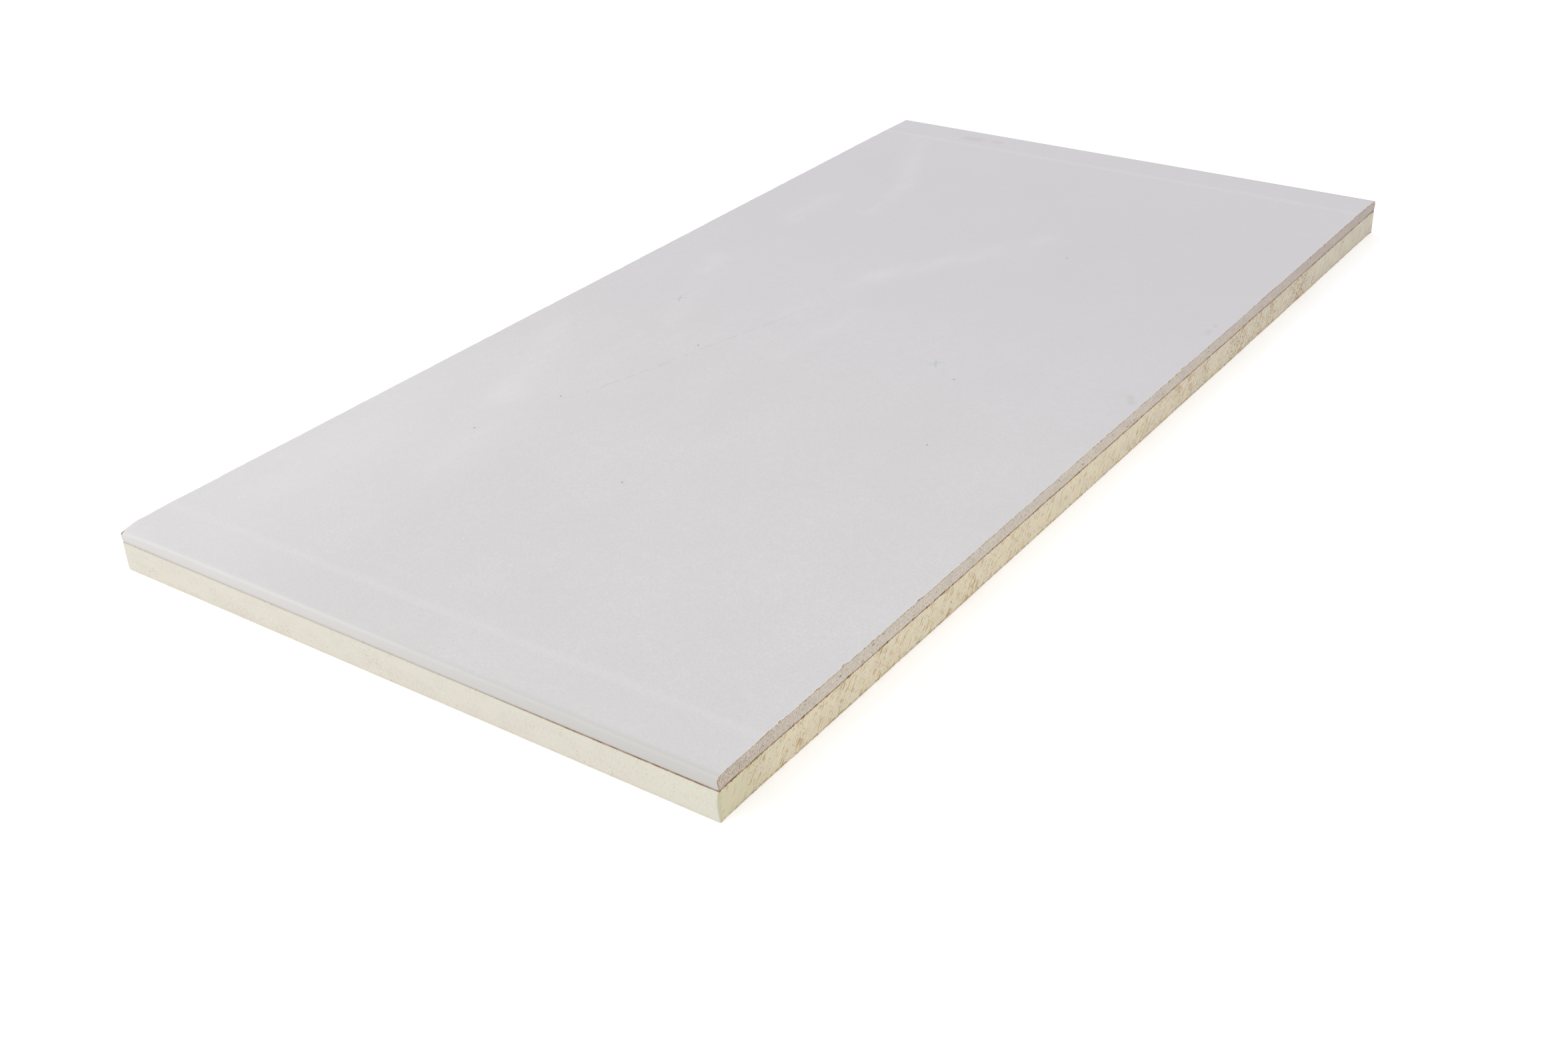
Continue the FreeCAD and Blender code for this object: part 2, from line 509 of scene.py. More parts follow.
def sawn_foam(place, patchy):
    """The sawn sides: light along the saw's marks, duller in patches, darker towards the right end
    and on the front near the left corner as painted shade, with tan streaks torn out of them and
    dark pits. It gives their colour and their relief."""
    x, y, z = place.parts()
    turned = slanting(place)
    along, _, aside = turned.parts()
    marked = place.node("Attribute", {"attribute_name": "marked"}, {}, "Fac")
    striped = turned.grain((9, 40, 0.6), 3, 6)
    fine = turned.grain((3.4, 40, 0.6), 1, 10)
    # Painted shade: the sawn sides darker and duller towards the right end.
    right_end_shade = x.ease(-250, 450) * 0.72 + x.ease(400, 520) * 0.16
    torn, smooth = 0.0, x.ease(425, 445) * 0.12
    for size, seed, often in dashes:
        bent = aside + y * 0.3 + (turned.grain((6, 40, 3), 2.0, seed) - 0.5) * 1.8
        away, own = along.spots(bent, size, seed)
        present = (own + marked * often + x.ease(-596, -540) * 0.03 - smooth).ease(0.95, 0.985)
        torn = (away + (fine - 0.5) * 0.4).ease(0.38, 0.18) * present + torn
    torn = torn.math("MINIMUM", 1.0)
    wide = (turned.grain((6, 40, 0.6), 2, 11) + marked * 0.2).ease(0.6, 0.74)
    away, own = x.spots(z + y, (3.2, 2.7), 8.4)
    pit_size = (own - 0.6) * 0.35 + marked * 0.5 - smooth
    pits = (away - pit_size).ease(0.06, -0.04) * own.ease(0.4, 0.5) * x.ease(60, 180)
    # Painted shade on the front side near the left corner, strongest on its worn rounding.
    corner_shade = x.ease(-595, -598.5) * 0.4 + x.ease(-510, -595) * 0.45
    colour = coated(
        foam_sawn,
        (patchy.ease(0.35, 0.65) * 0.25 + right_end_shade, foam_dull),
        (striped.ease(0.55, 0.4) * 0.7, foam_light),
        (striped.ease(0.5, 0.68) * 0.08, foam_tan),
        (wide * 0.13, foam_tan),
        (torn * (0.35 + fine), foam_tan),
        (torn * (marked + fine * 0.5).ease(0.75, 1.15) * 0.4, foam_pit),
        (pits * 0.75, x.ease(320, 365).over(seam_brown, foam_pit)),
        (corner_shade * y.ease(-290, -296), foam_corner_shade),
    )
    return colour, striped * 0.5 - torn * 0.5


def moulded_foam(place, patchy):
    """The smooth ends: cream, with faint bands, cells drawn up as the foam rose, and pin holes, and
    painted light towards the front. It gives their colour and their relief."""
    x, y, z = place.parts()
    bands = place.grain((30, 60, 1.6), 2, 14).ease(0.5, 0.66)
    leaning = place.node("CombineXYZ", {}, {"X": x, "Y": y + z * 0.4, "Z": z})
    rising = leaning.grain((40, 1.8, 4), 4, 18)
    away, own = y.spots(z, (1.9, 1.5), 11.3)
    pitted = place.grain((45, 45, 9), 3, 19).ease(0.42, 0.6) * 0.2
    pits = (away - (own - 0.95 + pitted) * 1.3).ease(0.06, -0.02)
    colour = coated(
        foam_end,
        (patchy.ease(0.42, 0.62), foam_pink),
        # Painted light: the ends lighter and less pink towards the front.
        (y.ease(-180, -290), foam_lit_front),
        (bands * 0.3, foam_pink),
        (rising.ease(0.48, 0.7) * (0.04 + patchy.ease(0.45, 0.6) * 0.12), foam_tan),
        (rising.ease(0.5, 0.3) * 0.4, foam_risen),
        (pits * (0.2 + own * 0.35), foam_tan),
    )
    return colour, rising * 0.4


def foam_finish():
    """Foam smooth at the ends and sawn along the sides, with glue and crumbs at the seam above it
    and brown dust along its foot."""
    made, place = new_finish("rigid_foam", 0.95)
    x, y, z = place.parts()
    cells = place.grain((0.5, 0.5, 0.5), 2)
    patchy = place.grain((30, 30, 14), 3, 2)
    at_end = abs(x).ease(598.9, 599.4).math("MAXIMUM", abs(y).ease(298.4, 297))
    sawn, sawn_relief = sawn_foam(place, patchy)
    moulded, moulded_relief = moulded_foam(place, patchy)
    beads = place.grain((6, 6, 6), 3, 25).ease(0.36, 0.6)
    ledge = z.ease(24.8, 24.98) * y.ease(-60, -200) * at_end
    stain, stain_colour = seam_stain(place)
    grit = place.grain((1.2, 1.2, 1.2), 2, 27).ease(0.5, 0.6)
    clots = place.grain((14, 14, 60), 2, 29).ease(0.42, 0.58)
    halo = z.ease(seam_height - 2.0, seam_height - 0.3) * grit
    halo = halo * (clots * 0.8 + 0.3 + x.ease(-548, -560) * 0.8)
    foot = z.ease(2.2, 0.7) * place.grain((4, 4, 2), 4, 22).ease(0.46, 0.55)
    crumbs = z.ease(2.0, 0.7) * place.grain((1.6, 1.6, 1.6), 2, 24).ease(0.55, 0.61)
    cleaner = 1 - x.ease(-540, -585) * 0.6
    colour = coated(
        at_end.over(sawn, moulded),
        (((cells - 0.5) * 0.45 + 0.02).math("MAXIMUM", 0.0), foam_tan),
        (ledge * (beads * 0.5 + 0.35), seam_brown),
        (halo * (1 - at_end), seam_brown),
        (stain * (1 - at_end * 0.9), stain_colour),
        (foot * (1 - at_end * 0.85) * cleaner, foam_tan),
        (crumbs * (1 - at_end * 0.9) * cleaner * 0.8, seam_brown),
    )
    relief = cells * 0.4 + sawn_relief * (1 - at_end) + moulded_relief * at_end
    return give(made, colour, relief, 0.2 * mm)


places, outline, outward = around(board_size, 0, sawn_step, bound_step)
levels = np.linspace(foam_low.z, foam_high.z, foam_levels)
rim = upright(outline, levels)
front, rear = outward[:, 1] < 0, outward[:, 1] > 0
foam_marks = np.zeros(rim.shape[:2])
draw = random.Random(11)
streaks(foam_marks, front, outline[:, 0], levels, streak_groups, draw)
for centre in broad_streaks:
    gouge(foam_marks, front, outline[:, 0], levels, centre, broad_length, broad_breadth, 1.0)
rear_starts = [draw.uniform(-570, 540) for _ in range(rear_group_count)]
rear_groups = [
    (start, start + draw.uniform(12, 45), draw.uniform(0.1, 0.5)) for start in rear_starts
]
streaks(foam_marks, rear, outline[:, 0], levels, rear_groups, draw)
bound = ~(front | rear)
for _ in range(end_dents):
    dent = draw.uniform(-290, 290) * mm, draw.uniform(3, 23) * mm
    deep = draw.uniform(0.3, 0.9)
    gouge(foam_marks, bound, outline[:, 1], levels, dent, 1.8 * mm, 0.7 * mm, deep)
uneven = 0.05 + 0.10 * chance(rim, 12 * mm) + 0.06 * chance(rim, 2.6 * mm, 9.0)
uneven = np.clip(uneven, 0, 1) * mm
foot_worn = np.exp(-(levels - foam_low.z) / (0.5 * mm))
worn = foot_worn + 0.5 * np.exp(-(foam_high.z - levels) / (0.4 * mm))
ragged = (0.1 + 0.4 * np.clip(chance(rim, 6 * mm, 4.0), 0, 1)) * mm * worn[:, None]
depth = uneven + ragged + foam_marks * gouge_depth + saw_wander(rim)
rim = move_in(round_corners(rim, corner_radius), outward, depth)
foam_skin = layer(board_size, places, blunted(rub_corner(rim, levels)), foam_marks)
foam = foam_skin.piece("rigid_foam", foam_finish())
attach(foam, "root")
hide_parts("foam_core")

# The back paper. The grey-brown paper on the back of the gypsum, with the glue that holds the
# foam to it. All that shows is its sawn rim: the dark line between gypsum and foam.

back_low, back_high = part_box("back_liner")
back_levels = 4

# The glue was squeezed out past the paper's ends, nearly as far as the bound side, and a little
# further towards the rear.
glue_inset, glue_bulge = 1.25 * mm, 0.35 * mm
glue_pale = (0.66, 0.64, 0.62, 1.0)
back_size = (half_length - glue_inset, back_high.y)


def back_paper_finish():
    """Brown paper soaked with glue, nearly black where the glue is thick, and under pale glue at
    the bound ends."""
    made, place = new_finish("back_paper", 0.8)
    x, y, _ = place.parts()
    fibres = place.grain((2, 2, 0.3), 3, 40)
    colour = coated(
        seam_stain(place)[1],
        (fibres.ease(0.62, 0.75) * 0.4, foam_tan),
        (abs(x).ease(596, 598) * y.ease(-285, -60) * 0.9, glue_pale),
    )
    return give(made, colour, fibres, 0.1 * mm)


places, outline, outward = around(back_size, 0, sawn_step, bound_step)
rim = upright(outline, np.linspace(back_low.z, back_high.z, back_levels))
depth = np.clip(0.04 + 0.2 * chance(rim, 4 * mm) + 0.2 * chance(rim, 1.3 * mm, 8.0), 0, 0.3) * mm
depth += saw_wander(rim)
rearward = np.clip(0.5 + outline[:, 1] / half_width, 0, 1)
depth -= np.where(outward[:, 1] == 0, glue_bulge * rearward, 0)
rim = move_in(rim, outward, depth)
back_skin = layer(back_size, places, rim, np.zeros(rim.shape[:2]))
back_paper = back_skin.piece("back_paper", back_paper_finish())
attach(back_paper, "root")
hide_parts("back_liner")

# The gypsum core. Plaster cast as a slurry between two moving papers, set, dried and sawn. The
# cut shows small dark air bubbles and the saw's slanting lines, and its upper edge is chipped.

gypsum_low, gypsum_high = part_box("gypsum_core")
paper_low, paper_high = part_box("face_liner")
paper_thickness = paper_high.z - gypsum_high.z
taper_width, taper_depth = 52 * mm, 0.9 * mm
arris_radius, fold_radius = 2.3 * mm, 0.42 * mm

# The side is widest well above its middle, and turns in a little towards the foot.
widest_height, side_radius = 33.3 * mm, 35 * mm
lap_width = 25 * mm

# How far in from each sawn side the core and its paper have rows, and the step of each row, in
# millimetres.
row_insets = (4, 9, 16, 26, 38, 50)
row_steps = (4, 8, 12, 24, 24, 24)
middle_rows = 41
gypsum_levels = 13
side_samples = 10

# The left rear corner fell on something hard: how far down and how far along it is crushed.
crush_drop, crush_push = 3.2 * mm, 0.5 * mm
crush_reach = (19 * mm, 48 * mm)

# The nicks that the saw left in a sawn side: how many and how deep, and how deep the upper edge
# is chipped.
nick_count, nick_depth, chip_depth = 230, 0.7 * mm, 0.8 * mm

gypsum_pale = (0.825, 0.745, 0.65, 1.0)
gypsum_warm = (0.50, 0.44, 0.445, 1.0)
gypsum_dark = (0.50, 0.41, 0.31, 1.0)
gypsum_hole = (0.17, 0.10, 0.06, 1.0)


def touching_centre(start, ahead, inward, radius):
    """The centre of an arc that touches a line and, from inside, the arc of the bound side."""
    gap = start + inward * radius - side_centre
    reach = gap.dot(ahead)
    root = math.sqrt(reach**2 - gap.length_squared + (side_radius - radius) ** 2)
    return start + inward * radius + ahead * (root - reach)


side_centre = Vector((half_length - side_radius, widest_height))
taper_top = Vector((half_length - taper_width, paper_high.z))
taper_angle = math.atan2(taper_depth, taper_width)
down_taper = Vector((math.cos(taper_angle), -math.sin(taper_angle)))
under_taper = Vector((-math.sin(taper_angle), -math.cos(taper_angle)))
lap_end = Vector((half_length - lap_width, paper_low.z))
arris_centre = touching_centre(taper_top, down_taper, under_taper, arris_radius)
fold_centre = touching_centre(lap_end, Vector((1, 0)), Vector((0, 1)), fold_radius)
arris_turn = math.atan2(*(arris_centre - side_centre).yx)
fold_turn = math.atan2(*(fold_centre - side_centre).yx)


def bound_outline(inset):
    """The bound edge's outline moved in: down its taper, round the arris, down the side, round
    the fold, and along the lap."""
    arcs = (
        (arris_centre, arris_radius, math.pi / 2 - taper_angle, arris_turn, 9),
        (side_centre, side_radius, arris_turn, fold_turn, 14),
        (fold_centre, fold_radius, fold_turn, -math.pi / 2, 6),
    )
    bends = []
    for centre, radius, start, end, samples in arcs:
        turns = np.linspace(start, end, samples)[:, None]
        around_centre = np.hstack([np.cos(turns), np.sin(turns)])
        bends.append(np.array(centre) + (radius - inset) * around_centre)
    top = np.array(taper_top + under_taper * inset)
    bottom = np.array(lap_end) + (0, inset)
    taper = top + np.linspace(0, 1, 12, endpoint=False)[:, None] * (bends[0][0] - top)
    lap = bends[2][-1] + np.linspace(0, 1, 7)[1:, None] * (bottom - bends[2][-1])
    return np.vstack([taper, bends[0], bends[1][1:], bends[2][1:], lap])


def crushed(points):
    """Points of the plasterboard, pressed down where the left rear corner is crushed."""
    from_end = np.clip(1 - (half_length + points[..., 0]) / crush_reach[0], 0, 1)
    from_side = np.clip(1 - (half_width - points[..., 1]) / crush_reach[1], 0, 1)
    height = np.clip((points[..., 2] - paper_low.z) / (paper_high.z - paper_low.z), 0, 1)
    pressed = from_end**1.5 * from_side**1.6
    moved = points.copy()
    moved[..., 2] -= crush_drop * pressed * height
    moved[..., 0] += crush_push * pressed * height
    return moved


def core_section(step):
    """The core's section as upright columns of points, left to right, each from the bottom up."""
    outline = bound_outline(paper_thickness)
    widest = int(np.argmax(outline[:, 0]))
    last = outline[widest, 0] - 0.05 * mm
    start = half_length - 4.5 * mm
    ends = start + (last - start) * np.sin(np.linspace(0, math.pi / 2, side_samples))[1:]
    inner = np.linspace(-start, start, round(2 * start / step) + 1)
    columns = np.concatenate([-ends[::-1], inner, ends])
    upper = np.interp(abs(columns), *outline[: widest + 1].T)
    lower = np.interp(abs(columns), *outline[widest:][::-1].T)
    lower = np.where(abs(columns) < lap_end.x, gypsum_low.z, lower)
    shares = np.linspace(0, 1, gypsum_levels)[:, None]
    return np.stack([np.tile(columns, (gypsum_levels, 1)), lower + shares * (upper - lower)], -1)


def across_board(skin, section, first, last):
    """Joins the rear rows of the core or its paper, which are in the skin already, over sparser
    new rows to the front ones."""
    rear_ys = [half_width - inset * mm for inset in row_insets]
    inner_ys = np.linspace(rear_ys[-1], -rear_ys[-1], middle_rows)[1:-1]
    ys = [*rear_ys, *inner_ys, *(-y for y in rear_ys[::-1])]
    steps = [*row_steps, *(row_steps[-1] for _ in inner_ys), *row_steps[::-1]]
    rows = []
    for y, step in zip(ys, steps):
        grid = section(step * mm)
        row_places, order = edge_of(grid)
        line = grid.reshape(-1, 2)[order]
        points = np.column_stack([line[:, 0], np.full(len(line), y), line[:, 1]])
        rows.append(skin.row(row_places, crushed(points)))
    skin.join([*first, *rows, *last])


def standing(section, y):
    """A section's points set up at that y."""
    return np.stack([section[..., 0], np.full(section.shape[:2], y), section[..., 1]], -1)


def gypsum_finish():
    """Warm grey plaster with the saw's lines, bubbles and a few slots, painted shade that makes it
    darker and greyer towards the right end and darker towards the left end, and brown from the
    paper at both edges."""
    made, place = new_finish("gypsum", 0.95)
    x, y, z = place.parts()
    turned = slanting(place)
    along, _, aside = turned.parts()
    marked = place.node("Attribute", {"attribute_name": "marked"}, {}, "Fac")
    lines = turned.grain((5, 30, 0.7), 2, 50)
    patchy = place.grain((22, 22, 8), 3, 52).ease(0.35, 0.7)
    crumbs = place.grain((0.5, 0.5, 0.5), 2, 54)
    near_corner = x.ease(-500, -585)
    away, own = x.spots(z + y, (2.0, 1.8), 5.9)
    bubbles = (away - (own - 0.4 + near_corner * 0.2) * 0.27).ease(0.05, -0.02)
    away, own = along.spots(aside + y, (3.4, 0.8), 9.2)
    nicks = away.ease(0.42, 0.2) * own.ease(0.4, 0.6)
    away, own = (x + crumbs * 4).spots(z + y + lines * 3, (14.0, 4.0), 3.6)
    slots = (away - (own - 0.8) * 0.65).ease(0.03, -0.02)
    under = (z - gypsum_high.z / mm).ease(-0.9, -0.2)
    spots = (place.grain((2.2, 7, 2), 2, 58) + x.ease(100, 560) * 0.08).ease(0.48, 0.6)
    colour = coated(
        gypsum_pale,
        # Painted shade: darker and greyer towards the right end, and darker towards the left end,
        # over patches of the plaster's own tone.
        (patchy * 0.2 + x.ease(-100, 560) * 0.6, gypsum_warm),
        (x.ease(-420, -590) * 0.18, gypsum_dark),
        (lines.ease(0.44, 0.62) * (0.45 + near_corner * 0.45), gypsum_dark),
        (nicks * (0.6 + near_corner * 0.3), gypsum_dark),
        (slots * 0.85, gypsum_hole),
        (bubbles * (0.65 + near_corner * 0.2), gypsum_hole),
        ((marked + (crumbs - 0.5) * 0.5).ease(0.35, 0.8) * 0.8, gypsum_hole),
        (under * (0.2 + spots * 0.75), seam_brown),
        seam_stain(place),
    )
    return give(made, colour, lines * 0.6 + crumbs * 0.4, 0.18 * mm)


def sawn_gypsum(side, draw):
    """The points of the core's sawn face on a side, -1 in front and 1 behind, and their marks."""
    section = core_section(sawn_step)
    face = standing(section, side * half_width)
    run, heights = section[0, :, 0], np.linspace(gypsum_low.z, gypsum_high.z, gypsum_levels)
    pits = np.zeros(section.shape[:2])
    everywhere = np.full(len(run), True)
    for _ in range(nick_count):
        centre = draw.uniform(-590, 590) * mm, draw.uniform(26.5, 36.5) * mm
        length, breadth = draw.uniform(1, 2.6) * mm, draw.uniform(0.35, 0.7) * mm
        gouge(pits, everywhere, run, heights, centre, length, breadth, draw.uniform(0.3, 1))
    upper_edge = np.linspace(0, 1, gypsum_levels)[:, None] ** 8
    chips = np.clip(chance(face, 9 * mm, 7.0) * 2.2 - 0.1, 0, 1) * upper_edge
    uneven = np.clip(0.05 + 0.1 * chance(face, 7 * mm) + 0.05 * chance(face, 2.2 * mm), 0, 1) * mm
    depth = uneven + saw_wander(face[:1]) + pits * nick_depth + chips * chip_depth
    face[..., 1] -= side * depth
    return crushed(face), pits, edge_of(section)


gypsum_skin = Skin()
draw = random.Random(23)
rear_face, rear_pits, core_edge = sawn_gypsum(1, draw)
front_face, front_pits, core_edge = sawn_gypsum(-1, draw)
rear_row = gypsum_skin.grid(core_edge, rear_face, rear_pits, turned=True)
front_row = gypsum_skin.grid(core_edge, front_face, front_pits)
across_board(gypsum_skin, core_section, [rear_row], [front_row])
gypsum = gypsum_skin.piece("gypsum", gypsum_finish())
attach(gypsum, "root")
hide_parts("gypsum_core")

# The face paper. One sheet of pale paper under which the gypsum set, over the face, round both
# bound edges and back under the core. The saw tore it along the long sides, down to its white
# inner plies, and handling has left wiped and rubbed places, a scratch and some specks.

tear_depth = 0.5 * mm
ply_width = 0.5 * mm

# The deeper tears on the front side, in millimetres: where along x, how far on, and how deep.
deep_tears = (
    (-530, 3, 1.2), (-453, 4, 1.6), (-355, 2.5, 0.9), (-48, 3, 0.6), (103, 6, 2.0), (299, 26, 0.6),
)

paper_pale = (0.765, 0.742, 0.745, 1.0)
paper_light = (0.78, 0.765, 0.765, 1.0)
paper_shade = (0.640, 0.613, 0.605, 1.0)
paper_cool = (0.615, 0.638, 0.650, 1.0)
paper_lilac = (0.640, 0.620, 0.655, 1.0)
paper_side = (0.72, 0.70, 0.68, 1.0)
paper_painted_shade = (0.605, 0.588, 0.565, 1.0)
paper_torn = (0.93, 0.92, 0.90, 1.0)
paper_speck = (0.16, 0.12, 0.09, 1.0)
paper_teal = (0.40, 0.52, 0.54, 1.0)
paper_scuff_and_shade = (0.50, 0.46, 0.45, 1.0)
paper_smudge = (0.50, 0.42, 0.36, 1.0)


def paper_section(step):
    """The paper's section: a row of outer points from the right lap, over the face, to the left
    lap, and a row of inner points under them."""
    rows = []
    for inset in (0.0, paper_thickness):
        edge = bound_outline(inset)
        face = np.linspace(taper_top.x, -taper_top.x, round(2 * taper_top.x / step) + 1)[1:-1]
        flat = np.column_stack([face, np.full(len(face), paper_high.z - inset)])
        rows.append(np.vstack([edge[::-1], flat, edge * (-1, 1)]))
    return np.stack(rows)


def torn_rim(side):
    """The paper's torn rim on a sawn side: its outer and inner points, and the edge's places."""
    section = paper_section(sawn_step)
    rim = standing(section, side * half_width)
    steps = np.round(chance(rim[:1], 7 * mm, 2.0) * 2.5) / 2.5
    fringe = 0.7 * chance(rim, 1.6 * mm, 6.0) + 0.5 * chance(rim, 3 * mm, 9.0)
    depth = np.clip(0.2 + 1.1 * steps + fringe, 0, 2) * tear_depth
    depth += saw_wander(rim[:1] * (1, 1, 0))
    if side < 0:
        for middle, reach, deep in deep_tears:
            near = np.clip(1 - ((rim[..., 0] / mm - middle) / reach) ** 2, 0, 1)
            depth += near * deep * mm * (rim[..., 2] > paper_high.z - mm)
    depth[1] = depth[1] * 0.6
    rim[..., 1] -= side * depth
    row_places, order = edge_of(section)
    inner = rim.reshape(-1, 3)[order] - np.array((0, side * ply_width, 0))
    return crushed(rim), (row_places, order), (row_places, crushed(inner))


def stroke(place, start, end, breadth):
    """A straight mark on the face from one x, y to another, from 0 to 1, soft all round."""
    x, y, _ = place.parts()
    length = math.dist(start, end)
    run = ((end[0] - start[0]) / length, (end[1] - start[1]) / length)
    ahead = (x - start[0]) * run[0] + (y - start[1]) * run[1]
    aside = (y - start[1]) * run[0] - (x - start[0]) * run[1]
    beyond = (abs(ahead - length / 2) - length / 2).math("MAXIMUM", 0.0)
    away = (aside * aside + beyond * beyond).math("SQRT")
    return away.ease(breadth, 0.0)


def strokes(place, marks):
    """Several such marks together."""
    drawn = [stroke(place, *mark) for mark in marks]
    while len(drawn) > 1:
        drawn.append(drawn.pop() + drawn.pop())
    return drawn[0]


# Marks on the face, each from one x, y to another and how far it spreads, in millimetres.
wipes = (
    ((-396, 142), (-253, 199), 36), ((-253, 199), (-96, 260), 30), ((-481, 262), (-374, 250), 60),
    ((-160, 164), (-89, 168), 20), ((-81, 142), (-39, 174), 18), ((-39, 174), (104, 228), 26),
    ((297, 160), (390, 174), 20), ((390, 174), (540, 246), 24), ((19, 74), (147, 56), 24),
    ((147, 56), (319, -47), 26), ((240, 225), (320, 232), 26), ((-60, 30), (60, 20), 22),
)
shades = (
    ((104, -54), (319, -111), 40), ((319, -111), (426, -183), 40), ((-60, 255), (-20, 150), 40),
)
scratches = (((-231, 142), (-126, 112), 1.5), ((-134, 116), (54, 67), 1.5))
crosses = (
    ((-6.7, 193), (5.3, 199), 1.8), ((-5.7, 202), (5.3, 191), 1.4),
    ((-8.5, -106), (3.5, -100), 1.8), ((-7.5, -97), (3.5, -108), 1.4),
)
specks = (
    (-319, 176), (-329, 1), (-23, -134), (-144, -179), (285, -88), (-81, 111.5), (-232, 152),
)
smudges = (
    ((572, 180), (572, 195), 12), ((575, 153), (575, 159), 8), ((14, -291), (26, -284), 6),
    ((182, -288), (190, -286), 4), ((200, -287), (205, -286), 3),
)


def sheet_colour(place, mottle, blotchy, fibres):
    """The sheet itself: pale grey with darker and cooler flecks, painted light towards the left
    rear, a painted sheen at the right end, and painted shade, darker and lilac, to the right.
    """
    x, y, _ = place.parts()
    flecked = place.grain((1, 1, 1), 2, 61)
    cool = place.grain((1.2, 1.2, 1.2), 3, 63)
    cloud = place.grain((90, 70, 30), 3, 62)
    return coated(
        paper_pale,
        (0.35 * cloud.ease(0.3, 0.7), paper_shade),
        (mottle.ease(0.35, 0.7) * 0.5, paper_shade),
        (flecked.ease(0.35, 0.75) * 0.9, paper_shade),
        (cool.ease(0.35, 0.75) * 0.6, paper_cool),
        (blotchy.ease(0.35, 0.65) * 0.25, paper_shade),
        # Painted light: lighter towards the left rear, and a painted sheen at the right end.
        (x.ease(-60, -340) * y.ease(60, 260) * 0.3 + x.ease(420, 560) * 0.15, paper_light),
        (fibres.ease(0.4, 0.7) * 0.3, paper_light),
        # Painted shade: darker and lilac towards the right end.
        (x.ease(-350, 350) * 0.6, paper_lilac),
    )


def handled(place, colour, blotchy, on_face):
    """The marks of handling on the face: wiped streaks, rub lines over the tapers, a scratch, two
    small crosses, specks and smudges."""
    rubs = abs(abs(place.parts()[0]) - 550).ease(7, 0.5) * 0.2
    swept = place.grain((60, 18, 60), 4, 66).ease(0.25, 0.7)
    dots = [((x, y), (x + 0.3, y), 1.4) for x, y in specks]
    scratch = strokes(place, scratches) * blotchy.ease(0.3, 0.65)
    return coated(
        colour,
        (on_face * (strokes(place, wipes) * 0.25 * swept + rubs), paper_light),
        (on_face * strokes(place, shades) * 0.15, paper_shade),
        (on_face * scratch * 0.4, paper_scuff_and_shade),
        (on_face * strokes(place, crosses) * 0.45, paper_teal),
        (on_face * strokes(place, dots) * 0.8, paper_speck),
        (on_face * strokes(place, smudges) * 0.22, paper_smudge),
    )


def paper_finish():
    """Pale grey paper, with painted shade on the front of its bound sides, along the front of their
    arrises, in a crease above their fold and at their foot. Along the sawn sides it is torn white
    on the face, and its cut is brown."""
    made, place = new_finish("face_paper", 0.75, gloss=0.5)
    x, y, z = place.parts()
    mottle = place.grain((2.2, 2.2, 2.2), 3, 60)
    blotchy = place.grain((9, 9, 9), 4, 65)
    fibres = place.grain((0.5, 1.6, 0.5), 3, 64)
    on_face = z.ease(paper_high.z / mm - 1.2, paper_high.z / mm - 0.9)
    bound = abs(x).ease(594, 599)
    frontward = y.ease(150, -280)
    arris = abs(x).ease(592, 598) * z.ease(33.5, 35.5) * frontward
    crease = abs(z - 26.8).ease(0.5, 0.1) * bound * blotchy.ease(0.3, 0.6)
    colour = coated(
        sheet_colour(place, mottle, blotchy, fibres),
        (bound * 0.6, paper_side),
        # Painted shade: the bound sides darker towards the front, along the arris at the front, and
        # in blotches along the crease above the fold.
        (bound * frontward * 0.7, paper_painted_shade),
        (arris * 0.45 + crease * 0.4, paper_painted_shade),
    )
    ply = place.node("Attribute", {"attribute_name": "marked"}, {}, "Fac")
    white = (ply + (place.grain((3.5, 4, 4), 3, 68) - 0.5) * 2.2).ease(0.45, 0.75)
    chipped = place.grain((2.2, 7, 2), 3, 58).ease(0.42, 0.56)
    cut_shade = chipped * 0.4 + x.ease(0, 450) * 0.15 + 0.45
    bare = ply.ease(0.3, 0.7) * (1 - on_face)
    foot = z.ease(25.8, 25.5) * y.ease(-100, -280)
    torn_spot = abs(z - 33.4).ease(1.4, 0.7) * y.ease(297.9, 298.6) * x.ease(-590, -598)
    colour = coated(
        handled(place, colour, blotchy, on_face),
        (white * on_face * x.ease(-590, -562) * 0.9, paper_torn),
        (ply.ease(1.1, 1.4) * cut_shade, seam_brown),
        (bare * 0.6, seam_brown),
        # Painted shade at the foot of the bound sides, by the fold, towards the front.
        (foot * 0.5, paper_scuff_and_shade),
        (torn_spot * 0.9, paper_speck),
    )
    return give(made, colour, fibres * 0.5 + mottle * 0.5, 0.07 * mm)


paper_skin = Skin()
rear_rim, paper_edge, rear_ply = torn_rim(1)
front_rim, paper_edge, front_ply = torn_rim(-1)
# The marks are 1 along the outer side of the cut, for the torn white ply, and 2 along the inner.
cut_marks = np.array([[1.0], [2.0]])
rear_row = paper_skin.grid(paper_edge, rear_rim, cut_marks, turned=True)
rear_rows = [rear_row, paper_skin.row(*rear_ply)]
front_rows = [paper_skin.row(*front_ply), paper_skin.grid(paper_edge, front_rim, cut_marks)]
across_board(paper_skin, paper_section, rear_rows, front_rows)
face_paper = paper_skin.piece("face_paper", paper_finish())
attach(face_paper, "root")
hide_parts("face_liner")

# The floor. A plain pale studio floor just under the board, open beneath it so that the
# board's back can be seen and lit from below.

floor_reach = 12.0
floor_gap = 0.2 * mm
opening_inset = 2 * mm
floor_white = (0.85, 0.85, 0.85, 1.0)
floor_glow = 0.24


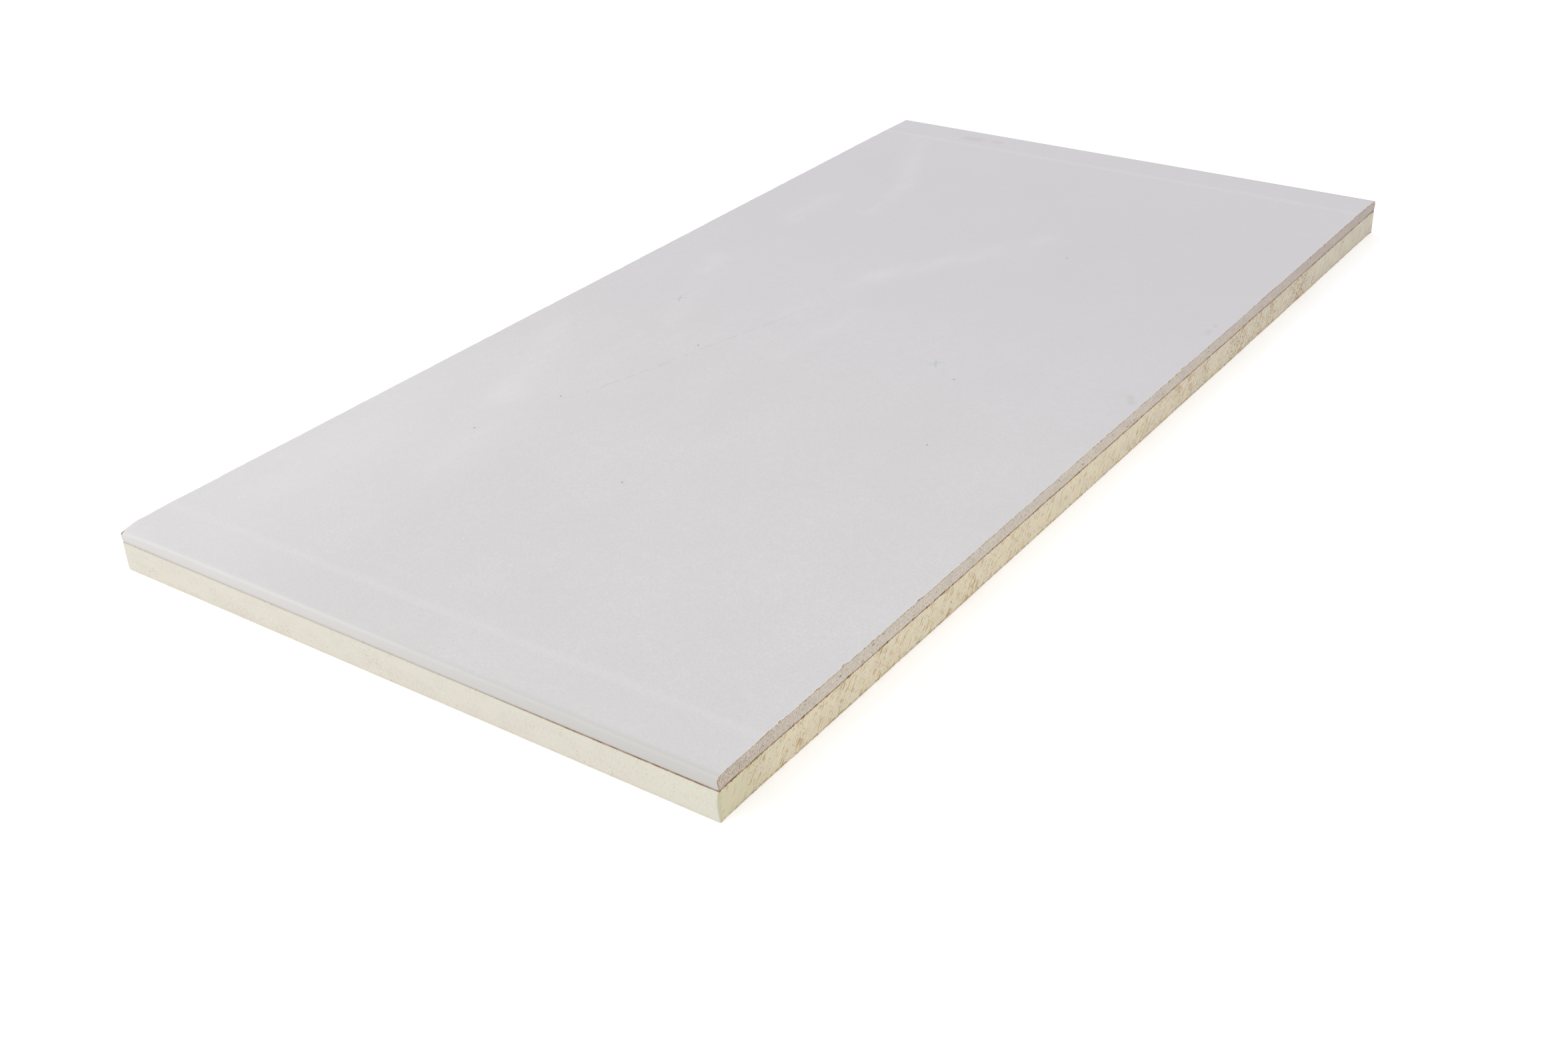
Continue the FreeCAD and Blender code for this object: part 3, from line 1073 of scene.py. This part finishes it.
def floor_finish():
    """White that keeps the board's shadow, and that isn't there when seen from beneath."""
    made = bpy.data.materials.new("studio_floor")
    made.use_nodes = True
    tree = made.node_tree
    tree.nodes.remove(tree.nodes["Principled BSDF"])
    start = Wire(tree)
    seen = start.node("LightPath", {}, {}, "Is Camera Ray")
    beneath = start.node("NewGeometry", {}, {}, "Backfacing")
    dull = start.node("BsdfDiffuse", {}, {"Color": floor_white})
    white = start.node("BsdfDiffuse", {}, {"Color": (1, 1, 1, 1)})
    glow = start.node("Emission", {}, {"Color": (1, 1, 1, 1), "Strength": floor_glow})
    lit = start.node("AddShader", {}, {0: white, 1: glow})
    clear = start.node("BsdfTransparent", {}, {})
    above = start.node("MixShader", {}, {0: seen, 1: dull, 2: lit})
    both = start.node("MixShader", {}, {0: beneath, 1: above, 2: clear})
    tree.links.new(both.socket, tree.nodes["Material Output"].inputs["Surface"])
    return made


def floor_frame():
    """A wide flat frame with an opening under the board."""
    hole = half_length - opening_inset, half_width - opening_inset
    turns = ((-1, -1), (1, -1), (1, 1), (-1, 1))
    points = [(u * hole[0], v * hole[1], -floor_gap) for u, v in turns]
    points += [(u * floor_reach, v * floor_reach, -floor_gap) for u, v in turns]
    faces = [(4 + i, 4 + (i + 1) % 4, (i + 1) % 4, i) for i in range(4)]
    mesh = bpy.data.meshes.new("studio_floor")
    mesh.from_pydata(points, [], faces)
    mesh.materials.append(floor_finish())
    return bpy.data.objects.new("studio_floor", mesh)


floor = floor_frame()
bpy.context.scene.collection.objects.link(floor)

# The light. An even pale room, white where the camera sees it, and one wide soft lamp, high up
# on the side of the left bound edge and aimed at the board's middle.

room_strength = 0.86
room_cool = (0.985, 0.99, 1.0, 1.0)
lamp_place = Vector((-3.0, 2.2, 2.1))
lamp_width = 2.4
lamp_share = 0.25
lamp_warm = (1.0, 0.985, 0.96)


def set_up(name, data, place, turn):
    """The lamp or the camera, put in its place and turned."""
    made = bpy.data.objects.new(name, data)
    made.location = place
    made.rotation_mode = "QUATERNION"
    made.rotation_quaternion = turn
    bpy.context.scene.collection.objects.link(made)
    return made


world = bpy.data.worlds.new("studio")
bpy.context.scene.world = world
world.use_nodes = True
sky = Wire(world.node_tree)
ray_kinds = ("Is Camera Ray", "Is Glossy Ray", "Is Transmission Ray")
rays = [sky.node("LightPath", {}, {}, kind) for kind in ray_kinds]
seen = rays[0].math("MAXIMUM", rays[1]).math("MAXIMUM", rays[2])
strength = room_strength + seen * (1 - room_strength)
room = world.node_tree.nodes["Background"]
room.inputs["Color"].default_value = room_cool
world.node_tree.links.new(strength.socket, room.inputs["Strength"])

lamp_data = bpy.data.lights.new("soft_lamp", "AREA")
lamp_data.shape, lamp_data.size = "SQUARE", lamp_width
lamp_data.energy = lamp_share * (math.pi * lamp_place.length) ** 2
lamp_data.color = lamp_warm
set_up("soft_lamp", lamp_data, lamp_place, (-lamp_place).to_track_quat("-Z", "Y"))

# The camera, near the front left corner and a little above the board, as in the photograph.

camera_place = Vector((-1.3181, -0.8874, 0.7561))
camera_ahead = Vector((0.6985, 0.5122, -0.4997))
camera_roll = math.radians(-2.47)
camera_lens, camera_sensor = 42.07, 36.0

camera_data = bpy.data.cameras.new("camera")
camera_data.lens, camera_data.sensor_width = camera_lens, camera_sensor
level = camera_ahead.to_track_quat("-Z", "Y")
rolled = level @ Quaternion((0, 0, 1), camera_roll)
bpy.context.scene.camera = set_up("camera", camera_data, camera_place, rolled)
bpy.context.scene.view_settings.view_transform = "Standard"
